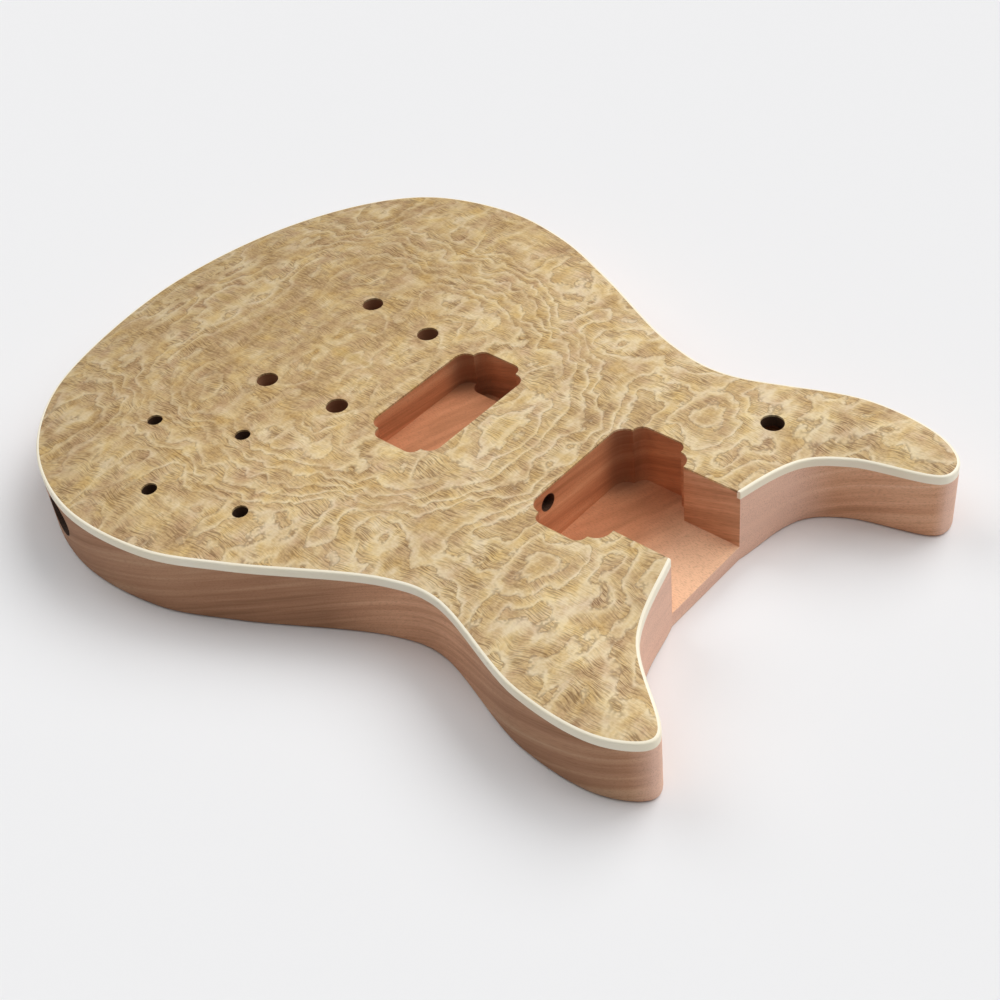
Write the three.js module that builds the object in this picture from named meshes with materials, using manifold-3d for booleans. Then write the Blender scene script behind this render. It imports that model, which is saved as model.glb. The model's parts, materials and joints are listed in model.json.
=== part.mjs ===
// Electric guitar body: solid mahogany core with a low arched top, two bookmatched veneer leaves
// and a binding round the rim. Millimetres. +X is the treble side, +Y points to the neck and +Z
// out of the top. The origin is on the centre line under the bridge, on the flat back.
import * as THREE from 'three';
import { mergeVertices } from 'three/addons/utils/BufferGeometryUtils.js';
import Module from 'manifold-3d';

const wasm = await Module();
wasm.setup();

// Overall sizes
const body_length = 452.4;
const body_width = 337;
const body_thickness = 44.5;
const tail_reach_share = 0.3753;       // of the length, from the bridge back to the tail
const half_width = body_width / 2;
const tail_y = -body_length * tail_reach_share;

// Low arch of the top: flat round the pickups and the neck, falling to the rim
const arch_drop = 5.5;
const arch_reach = 62;                 // how far in from the rim the fall begins
const neck_flat_half = 30.4;           // stays level this far each side of the neck
const neck_flat_fade_half = 83.4;      // fully arched from here outwards
const neck_flat_end_y = 100;           // the level strip fades out between these two stations
const neck_flat_start_y = 0;
const arch_cell = 15;                  // grid pitch of the arched faces

// Layers and edges
const veneer_thickness = 0.8;
const binding_width = 2;
const binding_height = 4.6;
const glue_gap = 0.3;
const back_edge_radius = 2;
const heel_edge_radius = 0.5;
const outline_steps = 5;               // facets in each span of the outline

// Outline, from the bass corner of the neck pocket round the tail to the treble corner:
// shares of the half width across and of the length from the tail
const outline_shares = [
  [-0.1656, 0.8408], [-0.409, 0.862], [-0.492, 0.9], [-0.58, 0.996], [-0.654, 0.997],
  [-0.731, 0.962], [-0.764, 0.864], [-0.631, 0.701], [-0.664, 0.619], [-0.848, 0.468],
  [-0.952, 0.368], [-0.99, 0.262], [-0.915, 0.15], [-0.752, 0.084], [-0.432, 0.025],
  [0.006, 0], [0.438, 0.024], [0.69, 0.063], [0.894, 0.138], [1.003, 0.243],
  [0.985, 0.367], [0.884, 0.456], [0.661, 0.613], [0.635, 0.67], [0.758, 0.818],
  [0.758, 0.916], [0.692, 0.959], [0.649, 0.96], [0.428, 0.874], [0.1656, 0.8408],
];

// Neck pocket and pickup cavities
const pocket_width = 55.8;
const pocket_depth = 35.6;
const pocket_back_y = 170;             // the pocket runs back into the neck pickup cavity
const neck_pickup_x = 0.8;
const neck_pickup_y = 155.3;
const neck_pickup_width = 44.6;
const neck_pickup_corner = 8;
const bridge_pickup_x = -1.4;
const bridge_pickup_y = 47.1;
const bridge_pickup_width = 44.2;
const bridge_pickup_corner = 6.7;
const bridge_pickup_depth = 19.5;
const pickup_length = 74.4;
const ear_reach = 5.9;                 // each mounting ear past the end of the cavity
const ear_slot_width = 11.6;           // the ears are slots of one cutter's width
const ear_slot_length = 29.6;
const ear_corner_radius = 5.5;
const ear_depth = 29;

// Bridge and tailpiece posts
const bridge_x = -2;
const bridge_post_spacing = 74;
const bridge_post_slant = 1.5;         // the treble post stands this much nearer the neck
const bridge_post_radius = 5.95;
const bridge_post_depth = 24;
const stud_x = -1.3;
const stud_y = -46.6;
const stud_spacing = 83;
const stud_slant = 0.4;
const stud_radius = 5.9;
const stud_depth = 26;

// Controls
const pot_hole_radius = 4.15;
const tail_pot = [98.7, -70.7];
const bass_pot = [80.3, -22.4];
const side_pot = [136.2, -31.4];
const neck_pot = [120.9, 19.5];
const pot_places = [tail_pot, bass_pot, side_pot, neck_pot];
const switch_hole_radius = 6.1;
const switch_place = [-81.7, 193.3];
const top_over_controls = 8.5;         // wood left over the control and switch cavities
const control_wall_round = 17;         // cavity wall to the nearest pot hole
const switch_cavity_radius = 19;
const cover_ledge_width = 6;
const cover_ledge_depth = 2.6;
const cover_screw_radius = 1.3;
const cover_screw_depth = 14;

// Bored channels and the jack
const wire_bore_radius = 4.6;
const wire_bore_drop = 9.2;            // of its middle below the top
const wire_bore_x = 22.5;
const control_bore_radius = 5;
const control_bore_z = 22;
const switch_bore_radius = 4.6;
const switch_bore_z = 24;
const ground_bore_radius = 2;
const jack_place = [164.5, -76];
const jack_aim = [112, -44];
const jack_z = 23;
const jack_radius = 11;
const round_sides = 32;
const small_sides = 16;

const clearance = 12;                  // how far cutters run past what they cut

// Places in the plan
const across = (share) => share * half_width;
const along = (share) => tail_y + share * body_length;

function outline_points() {
  const stations = outline_shares.map(([a, b]) => new THREE.Vector3(across(a), along(b), 0));
  const curve = new THREE.CatmullRomCurve3(stations, false, 'centripetal');
  const count = (stations.length - 1) * outline_steps;
  const points = [];
  for (let i = 0; i <= count; i += 1) {
    const p = curve.getPoint(i / count);
    points.push(new THREE.Vector2(p.x, p.y));
  }
  return points;
}

const rim = outline_points();          // anticlockwise when seen from above

// Offset of the closed outline by a distance that may differ from point to point
function inset(points, distance) {
  const n = points.length;
  return points.map((p, i) => {
    const before = points[(i + n - 1) % n];
    const after = points[(i + 1) % n];
    const e1 = p.clone().sub(before).normalize();
    const e2 = after.clone().sub(p).normalize();
    const n1 = new THREE.Vector2(-e1.y, e1.x);
    const n2 = new THREE.Vector2(-e2.y, e2.x);
    const mitre = n1.add(n2).normalize();
    const stretch = 1 / Math.max(Math.SQRT1_2, mitre.dot(n2));
    return p.clone().addScaledVector(mitre, distance(p, i) * stretch);
  });
}

// Height of the arched top
function rim_distance(x, y) {
  let best = Infinity;
  for (let i = 0; i + 1 < rim.length; i += 1) {
    const a = rim[i];
    const b = rim[i + 1];
    const dx = b.x - a.x;
    const dy = b.y - a.y;
    const t = THREE.MathUtils.clamp(((x - a.x) * dx + (y - a.y) * dy) / (dx * dx + dy * dy), 0, 1);
    best = Math.min(best, Math.hypot(x - a.x - t * dx, y - a.y - t * dy));
  }
  return best;
}

function inside_outline(x, y) {
  let inside = false;
  for (let i = 0, j = rim.length - 1; i < rim.length; j = i, i += 1) {
    const crosses = (rim[i].y > y) !== (rim[j].y > y);
    const side = ((rim[j].x - rim[i].x) * (y - rim[i].y)) / (rim[j].y - rim[i].y) + rim[i].x;
    if (crosses && x < side) inside = !inside;
  }
  return inside;
}

function top_height(x, y) {
  const by_side = THREE.MathUtils.smoothstep(Math.abs(x), neck_flat_half, neck_flat_fade_half);
  const by_station = 1 - THREE.MathUtils.smoothstep(y, neck_flat_start_y, neck_flat_end_y);
  const depth = rim_distance(x, y) * (inside_outline(x, y) ? 1 : -1);
  const fall = Math.max(0, 1 - depth / arch_reach) ** 2;
  return body_thickness - arch_drop * fall * Math.max(by_side, by_station);
}

// Solids
function to_solid(geometry) {
  const bare = geometry.clone();
  bare.deleteAttribute('normal');
  bare.deleteAttribute('uv');
  const merged = mergeVertices(bare, 1e-4);
  return new wasm.Manifold(new wasm.Mesh({
    numProp: 3,
    vertProperties: new Float32Array(merged.attributes.position.array),
    triVerts: new Uint32Array(merged.index.array),
  }));
}

function to_geometry(solid) {
  const mesh = solid.getMesh();
  const geometry = new THREE.BufferGeometry();
  geometry.setAttribute('position', new THREE.BufferAttribute(mesh.vertProperties, mesh.numProp));
  geometry.setIndex(new THREE.BufferAttribute(mesh.triVerts, 1));
  geometry.computeVertexNormals();
  return geometry;
}

function solid_from(positions, faces) {
  const geometry = new THREE.BufferGeometry();
  geometry.setAttribute('position', new THREE.Float32BufferAttribute(positions.flat(), 3));
  geometry.setIndex(faces.flat());
  return to_solid(geometry);
}

// A stack of rings, each with a plan outline and a height, from the bottom up
function stacked(rings) {
  const n = rings[0].points.length;
  const positions = [];
  const faces = [];
  rings.forEach(({ points, z }) => points.forEach((p, i) => {
    positions.push([p.x, p.y, typeof z === 'function' ? z(p, i) : z]);
  }));
  for (let r = 0; r + 1 < rings.length; r += 1) {
    for (let i = 0; i < n; i += 1) {
      const j = (i + 1) % n;
      const a = r * n + i;
      const b = r * n + j;
      faces.push([a, b, b + n], [a, b + n, a + n]);
    }
  }
  const cap = (ring, offset, flip) => {
    THREE.ShapeUtils.triangulateShape(ring.points, []).forEach(([a, b, c]) => {
      faces.push(flip ? [c + offset, b + offset, a + offset] : [a + offset, b + offset, c + offset]);
    });
  };
  cap(rings[0], 0, true);
  cap(rings[rings.length - 1], (rings.length - 1) * n, false);
  return solid_from(positions, faces);
}

const prism = (points, low, high) => stacked([{ points, z: low }, { points, z: high }]);

// Everything above, or below, the arched top moved down by an offset
function beyond_arch(offset, above) {
  const low_x = -half_width - clearance;
  const high_x = half_width + clearance;
  const low_y = tail_y - clearance;
  const high_y = tail_y + body_length + clearance;
  const nx = Math.round((high_x - low_x) / arch_cell);
  const ny = Math.round((high_y - low_y) / arch_cell);
  const far = above ? body_thickness + clearance : -clearance;
  const positions = [];
  const faces = [];
  for (let layer = 0; layer < 2; layer += 1) {
    for (let j = 0; j <= ny; j += 1) {
      for (let i = 0; i <= nx; i += 1) {
        const x = low_x + ((high_x - low_x) * i) / nx;
        const y = low_y + ((high_y - low_y) * j) / ny;
        positions.push([x, y, layer ? top_height(x, y) - offset : far]);
      }
    }
  }
  const layer_size = (nx + 1) * (ny + 1);
  const at = (layer, i, j) => layer * layer_size + j * (nx + 1) + i;
  const quad = (a, b, c, d) => {
    if (above) faces.push([a, c, b], [a, d, c]);
    else faces.push([a, b, c], [a, c, d]);
  };
  for (let j = 0; j < ny; j += 1) {
    for (let i = 0; i < nx; i += 1) {
      quad(at(1, i, j), at(1, i + 1, j), at(1, i + 1, j + 1), at(1, i, j + 1));
      quad(at(0, i, j), at(0, i, j + 1), at(0, i + 1, j + 1), at(0, i + 1, j));
    }
  }
  for (let i = 0; i < nx; i += 1) {
    quad(at(0, i, 0), at(0, i + 1, 0), at(1, i + 1, 0), at(1, i, 0));
    quad(at(0, i + 1, ny), at(0, i, ny), at(1, i, ny), at(1, i + 1, ny));
  }
  for (let j = 0; j < ny; j += 1) {
    quad(at(0, 0, j + 1), at(0, 0, j), at(1, 0, j), at(1, 0, j + 1));
    quad(at(0, nx, j), at(0, nx, j + 1), at(1, nx, j + 1), at(1, nx, j));
  }
  return solid_from(positions, faces);
}

const box = (low, high) => {
  const size = high.map((v, k) => v - low[k]);
  const geometry = new THREE.BoxGeometry(...size);
  geometry.translate(...low.map((v, k) => v + size[k] / 2));
  return to_solid(geometry);
};

const hole = (x, y, radius, low, high, sides = round_sides) => {
  const geometry = new THREE.CylinderGeometry(radius, radius, high - low, sides);
  geometry.rotateX(Math.PI / 2);
  geometry.translate(x, y, (low + high) / 2);
  return to_solid(geometry);
};

function bore(from, to, radius, sides = small_sides) {
  const a = new THREE.Vector3(...from);
  const b = new THREE.Vector3(...to);
  const geometry = new THREE.CylinderGeometry(radius, radius, a.distanceTo(b), sides);
  const turn = new THREE.Quaternion().setFromUnitVectors(
    new THREE.Vector3(0, 1, 0), b.clone().sub(a).normalize());
  geometry.applyQuaternion(turn);
  geometry.translate(...a.clone().add(b).multiplyScalar(1 / 2).toArray());
  return to_solid(geometry);
}

function rounded_box(x, y, length, width, radius, low, high) {
  const points = [];
  [[1, 1, 0], [-1, 1, 1], [-1, -1, 2], [1, -1, 3]].forEach(([sx, sy, quarter]) => {
    for (let k = 0; k <= small_sides / 4; k += 1) {
      const angle = ((quarter + (4 * k) / small_sides) * Math.PI) / 2;
      points.push(new THREE.Vector2(
        x + sx * (length / 2 - radius) + radius * Math.cos(angle),
        y + sy * (width / 2 - radius) + radius * Math.sin(angle)));
    }
  });
  return prism(points, low, high);
}

// The convex outline that keeps a wall's distance round a set of places
function wrapped(places, radius) {
  const dots = [];
  places.forEach(([x, y]) => {
    for (let k = 0; k < round_sides; k += 1) {
      const angle = (2 * Math.PI * k) / round_sides;
      dots.push([x + radius * Math.cos(angle), y + radius * Math.sin(angle)]);
    }
  });
  dots.sort((a, b) => a[0] - b[0] || a[1] - b[1]);
  const turn = (o, a, b) => (a[0] - o[0]) * (b[1] - o[1]) - (a[1] - o[1]) * (b[0] - o[0]);
  const half = (list) => {
    const chain = [];
    list.forEach((p) => {
      while (chain.length > 1 && turn(chain.at(-2), chain.at(-1), p) <= 1e-6) chain.pop();
      chain.push(p);
    });
    chain.pop();
    return chain;
  };
  return half(dots).concat(half([...dots].reverse())).map(([x, y]) => new THREE.Vector2(x, y));
}

const cut = (solid, tools) => tools.reduce((left, tool) => left.subtract(tool), solid);
const high = body_thickness + clearance;

// Routed openings that go through the top
const pocket = box(
  [-pocket_width / 2, pocket_back_y, body_thickness - pocket_depth],
  [pocket_width / 2, tail_y + body_length + clearance, high]);

const ear_centre = pickup_length / 2 + ear_reach - ear_slot_width / 2;

function pickup_cavity(x, y, width, corner, depth, ears) {
  const main = rounded_box(
    x, y, pickup_length, width, corner, body_thickness - depth, high);
  return [-1, 1].reduce((cavity, side) => cavity.add(rounded_box(
    x + side * ear_centre, y, ear_slot_width, ear_slot_length, ear_corner_radius,
    body_thickness - ears, high)), main);
}

// The bridge cavity's ears go deeper than its floor
const bridge_cavity = pickup_cavity(bridge_pickup_x, bridge_pickup_y, bridge_pickup_width,
  bridge_pickup_corner, bridge_pickup_depth, ear_depth);
const neck_cavity = pickup_cavity(neck_pickup_x, neck_pickup_y, neck_pickup_width,
  neck_pickup_corner, pocket_depth, pocket_depth);

const stud_place = (side) => [stud_x + (side * stud_spacing) / 2, stud_y + side * stud_slant];
const post_holes = [-1, 1].flatMap((side) => [
  hole(bridge_x + (side * bridge_post_spacing) / 2, side * bridge_post_slant,
    bridge_post_radius, body_thickness - bridge_post_depth, high),
  hole(...stud_place(side), stud_radius, body_thickness - stud_depth, high),
]);

// Control and switch cavities, routed from the back, with a ledge for each cover
const control_ceiling = body_thickness - top_over_controls;
const pot_holes = pot_places.map(([x, y]) => hole(
  x, y, pot_hole_radius, control_ceiling - clearance, high, small_sides));
const switch_hole = hole(...switch_place, switch_hole_radius, control_ceiling - clearance, high);
const control_cavity = prism(
  wrapped(pot_places, control_wall_round), -clearance, control_ceiling);
const control_ledge = prism(
  wrapped(pot_places, control_wall_round + cover_ledge_width), -clearance, cover_ledge_depth);
const switch_cavity = hole(...switch_place, switch_cavity_radius, -clearance, control_ceiling);
const switch_ledge = hole(
  ...switch_place, switch_cavity_radius + cover_ledge_width, -clearance, cover_ledge_depth);

const pot_middle = [0, 1].map((k) => (
  pot_places.reduce((sum, place) => sum + place[k], 0) / pot_places.length));
const screw_reach = control_wall_round + cover_ledge_width / 2;
const control_screws = pot_places.map(([x, y]) => {
  const out = new THREE.Vector2(x - pot_middle[0], y - pot_middle[1]).setLength(screw_reach);
  return [x + out.x, y + out.y];
});
const switch_screws = [0, 1, 2].map((k) => {
  const angle = (k * 2 * Math.PI) / 3 + Math.PI / 2;
  const reach = switch_cavity_radius + cover_ledge_width / 2;
  return [switch_place[0] + reach * Math.cos(angle), switch_place[1] + reach * Math.sin(angle)];
});
const screw_holes = [...control_screws, ...switch_screws].map(([x, y]) => hole(
  x, y, cover_screw_radius, -clearance, cover_screw_depth, small_sides / 2));

// Channels bored between the cavities, and the jack hole in the side
const wire_z = body_thickness - wire_bore_drop;
const pickup_gap_low = bridge_pickup_y + bridge_pickup_width / 2 - bridge_pickup_corner;
const pickup_gap_high = neck_pickup_y - neck_pickup_width / 2 + bridge_pickup_corner;
const channels = [
  bore([wire_bore_x, pickup_gap_low, wire_z], [wire_bore_x, pickup_gap_high, wire_z],
    wire_bore_radius, round_sides),
  bore([bridge_pickup_x + ear_centre, bridge_pickup_y, control_bore_z],
    [...neck_pot, control_bore_z], control_bore_radius),
  bore([neck_pickup_x - ear_centre, neck_pickup_y, switch_bore_z],
    [...switch_place, switch_bore_z], switch_bore_radius),
  bore([...stud_place(1), control_bore_z], [...bass_pot, control_bore_z],
    ground_bore_radius, small_sides / 2),
];
const jack_dir = new THREE.Vector2(jack_aim[0] - jack_place[0], jack_aim[1] - jack_place[1]);
const jack_out = jack_dir.clone().setLength(-clearance);
const jack_bore = bore(
  [jack_place[0] + jack_out.x, jack_place[1] + jack_out.y, jack_z],
  [...jack_aim, jack_z], jack_radius, round_sides);

// Core with rounded back edges
const edge_radius = (p) => {
  const away = Math.abs(p.x) - pocket_width / 2;
  const at_neck = p.y > pocket_back_y;
  const blend = at_neck ? THREE.MathUtils.smoothstep(away, 0, pocket_width / 2) : 1;
  return THREE.MathUtils.lerp(heel_edge_radius, back_edge_radius, blend);
};
const edge_rings = [0, 1, 2, 3].map((k) => (k * Math.PI) / 6).map((angle) => ({
  points: inset(rim, (p) => edge_radius(p) * (1 - Math.sin(angle))),
  z: (p, i) => edge_radius(rim[i]) * (1 - Math.cos(angle)),
}));
const blank = stacked([...edge_rings, { points: rim, z: high }]);

const leaf_outline = inset(rim, () => binding_width + glue_gap);
const binding_inner = inset(rim, () => binding_width);
const outside_leaf = prism(inset(rim, () => -clearance / 4), 0, high)
  .subtract(prism(leaf_outline, -clearance, high + clearance));
const above_top = beyond_arch(0, true);
const above_core = beyond_arch(veneer_thickness + glue_gap, true);
const above_rebate = beyond_arch(binding_height + glue_gap, true);

const core = cut(blank, [
  above_core, above_rebate.intersect(outside_leaf),
  pocket, bridge_cavity, neck_cavity, ...post_holes, ...pot_holes, switch_hole,
  control_cavity, control_ledge, switch_cavity, switch_ledge, ...screw_holes, ...channels, jack_bore,
]);

// Veneer: one sheet over the arch, opened with the core and halved on the centre line
const through_top = [pocket, bridge_cavity, neck_cavity, ...post_holes, ...pot_holes, switch_hole];
const sheet = cut(prism(leaf_outline, 0, high), [
  above_top, beyond_arch(veneer_thickness, false), ...through_top]);

// Binding: a strip round the rim, ending at the walls of the neck pocket
const strip = cut(prism(rim, 0, high), [
  prism(binding_inner, -clearance, high + clearance), above_top, beyond_arch(binding_height, false), pocket]);

const far = body_length + body_width;
const bass_half = box([-far, -far, -clearance], [0, far, high]);
const treble_half = box([0, -far, -clearance], [far, far, high]);

const group = new THREE.Group();
group.name = 'electric_guitar_body';

function place(name, solid, colour, roughness) {
  const material = new THREE.MeshStandardMaterial({ color: colour, roughness, metalness: 0 });
  const mesh = new THREE.Mesh(to_geometry(solid), material);
  mesh.name = name;
  group.add(mesh);
}

place('mahogany_core', core, 0xa8704f, 0.75);
place('veneer_bass', sheet.intersect(bass_half), 0xc9a978, 0.7);
place('veneer_treble', sheet.intersect(treble_half), 0xc9a978, 0.7);
place('binding_bass', strip.intersect(bass_half), 0xf1ead6, 0.4);
place('binding_treble', strip.intersect(treble_half), 0xf1ead6, 0.4);

export default group;
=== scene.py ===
# A bare double-cutaway electric guitar body on a white studio table.
# Sizes are in millimetres and become metres as each mesh is made. +X is the treble side,
# +Y points to the neck and +Z out of the top.
import json
import math

import bmesh
import bpy
from mathutils import Matrix, Vector
from mathutils.geometry import delaunay_2d_cdt

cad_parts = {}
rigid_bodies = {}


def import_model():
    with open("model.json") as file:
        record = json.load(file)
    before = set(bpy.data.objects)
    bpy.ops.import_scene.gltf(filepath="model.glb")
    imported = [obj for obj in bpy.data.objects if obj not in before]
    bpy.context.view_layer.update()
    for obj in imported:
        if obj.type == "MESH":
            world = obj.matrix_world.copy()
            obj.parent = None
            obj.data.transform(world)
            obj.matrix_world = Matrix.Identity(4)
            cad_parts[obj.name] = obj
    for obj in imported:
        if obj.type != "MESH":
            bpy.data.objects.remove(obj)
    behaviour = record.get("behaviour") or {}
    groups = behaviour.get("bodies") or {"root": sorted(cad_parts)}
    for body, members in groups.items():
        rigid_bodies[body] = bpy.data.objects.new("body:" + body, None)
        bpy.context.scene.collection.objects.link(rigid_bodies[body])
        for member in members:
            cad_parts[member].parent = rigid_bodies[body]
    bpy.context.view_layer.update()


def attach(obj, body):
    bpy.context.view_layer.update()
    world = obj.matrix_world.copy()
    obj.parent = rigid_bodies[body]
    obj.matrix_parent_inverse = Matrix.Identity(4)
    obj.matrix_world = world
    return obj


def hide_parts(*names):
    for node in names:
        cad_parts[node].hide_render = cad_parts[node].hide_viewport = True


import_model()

MM = 0.001

# Sizes shared with the solids
BODY_LENGTH = 452.4
HALF_WIDTH = 168.5
THICKNESS = 44.5
TAIL_REACH_SHARE = 0.3753
TAIL_Y = -BODY_LENGTH * TAIL_REACH_SHARE
VENEER = 0.8
GLUE_GAP = 0.3
BACK_EDGE = 2.0
HEEL_EDGE = 0.5

# The arch falls over its reach from the rim. It fades out near the centre line and near the neck,
# between the distances of these two pairs.
ARCH_DROP = 5.5
ARCH_REACH = 62.0
CENTRE_FADE = (30.4, 83.4)
NECK_FADE = (0.0, 100.0)

POCKET_WIDTH = 55.8
POCKET_DEPTH = 35.6
POCKET_BACK_Y = 170.0

# Each pickup cavity has its middle in X and in Y, its width and its corner radius. An ear slot has
# its length, its width and its corner radius.
NECK_PICKUP = (0.8, 155.3, 44.6, 8.0)
BRIDGE_PICKUP = (-1.4, 47.1, 44.2, 6.7)
PICKUP_LENGTH = 74.4
BRIDGE_PICKUP_DEPTH = 19.5
EAR_REACH = 5.9
EAR_SLOT = (11.6, 29.6, 5.5)
EAR_DEPTH = 29.0
EAR_CENTRE = PICKUP_LENGTH / 2 + EAR_REACH - EAR_SLOT[0] / 2

# Post and stud holes stand in pairs, each pair a little off the centre line and slanted
BRIDGE_X = -2.0
POST_X = 37.0
POST_SLANT = 1.5
POST_R = 5.95
POST_DEPTH = 24.0
TAIL_X = -1.3
STUD_X = 41.5
STUD_Y = -46.6
STUD_SLANT = 0.4
STUD_R = 5.9
STUD_DEPTH = 26.0

POT_R = 4.15
POTS = [(98.7, -70.7), (80.3, -22.4), (136.2, -31.4), (120.9, 19.5)]
SWITCH_R = 6.1
SWITCH = (-81.7, 193.3)

# Cavities in the back, their cover ledges and screws
CEILING_WALL = 8.5
CEILING_Z = THICKNESS - CEILING_WALL
CONTROL_ROUND = 17.0
SWITCH_ROUND = 19.0
LEDGE_WIDTH = 6.0
LEDGE_DEPTH = 2.6
SCREW_R = 1.3
SCREW_DEPTH = 14.0
SWITCH_SCREWS = 3

# Bores inside the body
WIRE_R = 4.6
WIRE_X = 22.5
WIRE_BELOW_TOP = 9.2
WIRE_Z = THICKNESS - WIRE_BELOW_TOP
BORE_Z = 22.0
CONTROL_BORE_R = 5.0
GROUND_BORE_R = 2.0
SWITCH_BORE_R = 4.6
SWITCH_BORE_Z = 24.0
JACK_FROM = (164.5, -76.0)
JACK_TO = (112.0, -44.0)
JACK_Z = 23.0
JACK_R = 11.0

# The outline from the bass wall of the neck pocket round the tail to its treble wall, in shares of
# the half width and of the body's length
OUTLINE_SHARES = [
    (-0.1656, 0.8408), (-0.409, 0.862), (-0.492, 0.9), (-0.58, 0.996), (-0.654, 0.997),
    (-0.731, 0.962), (-0.764, 0.864), (-0.631, 0.701), (-0.664, 0.619), (-0.848, 0.468),
    (-0.952, 0.368), (-0.99, 0.262), (-0.915, 0.15), (-0.752, 0.084), (-0.432, 0.025),
    (0.006, 0.0), (0.438, 0.024), (0.69, 0.063), (0.894, 0.138), (1.003, 0.243),
    (0.985, 0.367), (0.884, 0.456), (0.661, 0.613), (0.635, 0.67), (0.758, 0.818),
    (0.758, 0.916), (0.692, 0.959), (0.649, 0.96), (0.428, 0.874), (0.1656, 0.8408),
]

# Sizes measured in the photograph. The binding is a little slimmer than in the solids, and the
# bore to the switch stops short of the neck pickup cavity, whose wall is plain wood.
BINDING_WIDTH = 1.6
BINDING_HEIGHT = 4.2
BINDING_ROUND = 0.9
SWITCH_BORE_SHORT = 6.5
SWITCH_BORE_ASIDE = 6.0

# How far a cutter runs past what it cuts, and the heights that are clear of the body
OVERRUN = 12.0
ABOVE = THICKNESS + OVERRUN
BELOW = -OVERRUN

# How finely the meshes are made. Vertices nearer than WELD are joined, edges that turn by more than
# the sharp angle, in degrees, stay sharp, and places within ON_CENTRE of the centre line are on it.
RIM_STEPS = 12
COARSE_STEPS = 5
EDGE_STEPS = 4
ROUND_STEPS = 5
CORNER_STEPS = 6
HOLE_SIDES = 48
SMALL_SIDES = 16
CORE_PITCH = 6.0
LEAF_PITCH = 5.0
GRID_CLEAR_SHARE = 0.75
WELD = 0.0001
CORE_SHARP = 35
THIN_SHARP = 40
TINY = 1e-6
ON_CENTRE = 0.001

# Camera: solved from the photograph, straight ahead through the middle of the picture
SENSOR = 36.0
PICTURE_PIXELS = 1000.0
FOCAL_PIXELS = 1612.748
CAMERA_AT = Vector((454.176, 529.351, 558.284))
RIGHT = Vector((-0.64663254, 0.75800052, -0.08544920))
DOWN = Vector((0.54729110, 0.38299106, -0.74417088))
AHEAD = Vector((-0.53135564, -0.52797069, -0.66250142))


def make_camera():
    camera = bpy.data.objects.new("camera", bpy.data.cameras.new("camera"))
    camera.data.lens = FOCAL_PIXELS * SENSOR / PICTURE_PIXELS
    camera.data.sensor_width = SENSOR
    camera.data.clip_start = 0.05
    camera.data.clip_end = 60.0
    turn = Matrix((RIGHT, -DOWN, -AHEAD)).transposed().to_4x4()
    camera.matrix_world = Matrix.Translation(CAMERA_AT * MM) @ turn
    bpy.context.scene.collection.objects.link(camera)
    bpy.context.scene.camera = camera


# Plan curves
def smoothstep(x, low, high):
    t = min(1.0, max(0.0, (x - low) / (high - low)))
    return t * t * (3.0 - 2.0 * t)


def span_point(p, w):
    """A point at share w between p[1] and p[2] of four outline stations, on the smooth curve
    through them all."""
    d0, d1, d2 = ((p[i + 1] - p[i]).length ** 0.5 for i in range(3))
    leave = ((p[1] - p[0]) / d0 - (p[2] - p[0]) / (d0 + d1) + (p[2] - p[1]) / d1) * d1
    arrive = ((p[2] - p[1]) / d1 - (p[3] - p[1]) / (d1 + d2) + (p[3] - p[2]) / d2) * d1
    a, b = p[1], p[2]
    return (a + leave * w + (b * 3 - a * 3 - leave * 2 - arrive) * w ** 2
            + (a * 2 - b * 2 + leave + arrive) * w ** 3)


def outline_points(steps):
    """The rim in plan, with a number of steps between each two of its stations."""
    p = [Vector((a * HALF_WIDTH, TAIL_Y + b * BODY_LENGTH)) for a, b in OUTLINE_SHARES]
    p = [p[0] * 2 - p[1]] + p + [p[-1] * 2 - p[-2]]
    points = [span_point(p[i:i + 4], k / steps) for i in range(len(p) - 3) for k in range(steps)]
    return points + [p[-2].copy()]


# The fine rim shapes the meshes, and the arch is measured from the coarse one
RIM = outline_points(RIM_STEPS)
COARSE_RIM = outline_points(COARSE_STEPS)


def inset(points, distance):
    """A closed line moved inwards by a distance, or by what a function gives at each point. A
    corner sharper than a right angle moves no further than one of a right angle."""
    moved = []
    for i, p in enumerate(points):
        before = (p - points[i - 1]).normalized()
        after = (points[(i + 1) % len(points)] - p).normalized()
        inward = Vector((-before.y, before.x))
        next_inward = Vector((-after.y, after.x))
        mitre = (inward + next_inward).normalized()
        reach = distance(p) if callable(distance) else distance
        moved.append(p + mitre * reach / max(math.sqrt(0.5), mitre.dot(next_inward)))
    return moved


def rim_depth(x, y):
    """Distance from the outline, positive inside it."""
    best, inside = math.inf, False
    for i in range(len(COARSE_RIM)):
        a = COARSE_RIM[i]
        b = COARSE_RIM[(i + 1) % len(COARSE_RIM)]
        if (a.y > y) != (b.y > y) and x < (b.x - a.x) * (y - a.y) / (b.y - a.y) + a.x:
            inside = not inside
        if i + 1 < len(COARSE_RIM):
            dx, dy = b.x - a.x, b.y - a.y
            t = min(1.0, max(0.0, ((x - a.x) * dx + (y - a.y) * dy) / (dx * dx + dy * dy)))
            best = min(best, math.hypot(x - a.x - t * dx, y - a.y - t * dy))
    return best if inside else -best


def top_height(x, y):
    """The height of the arched top over a place in plan."""
    by_side = smoothstep(abs(x), *CENTRE_FADE)
    by_station = 1.0 - smoothstep(y, *NECK_FADE)
    share = max(by_side, by_station)
    if share <= 0.0:
        return THICKNESS
    fall = max(0.0, 1.0 - rim_depth(x, y) / ARCH_REACH) ** 2
    return THICKNESS - ARCH_DROP * fall * share


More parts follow.
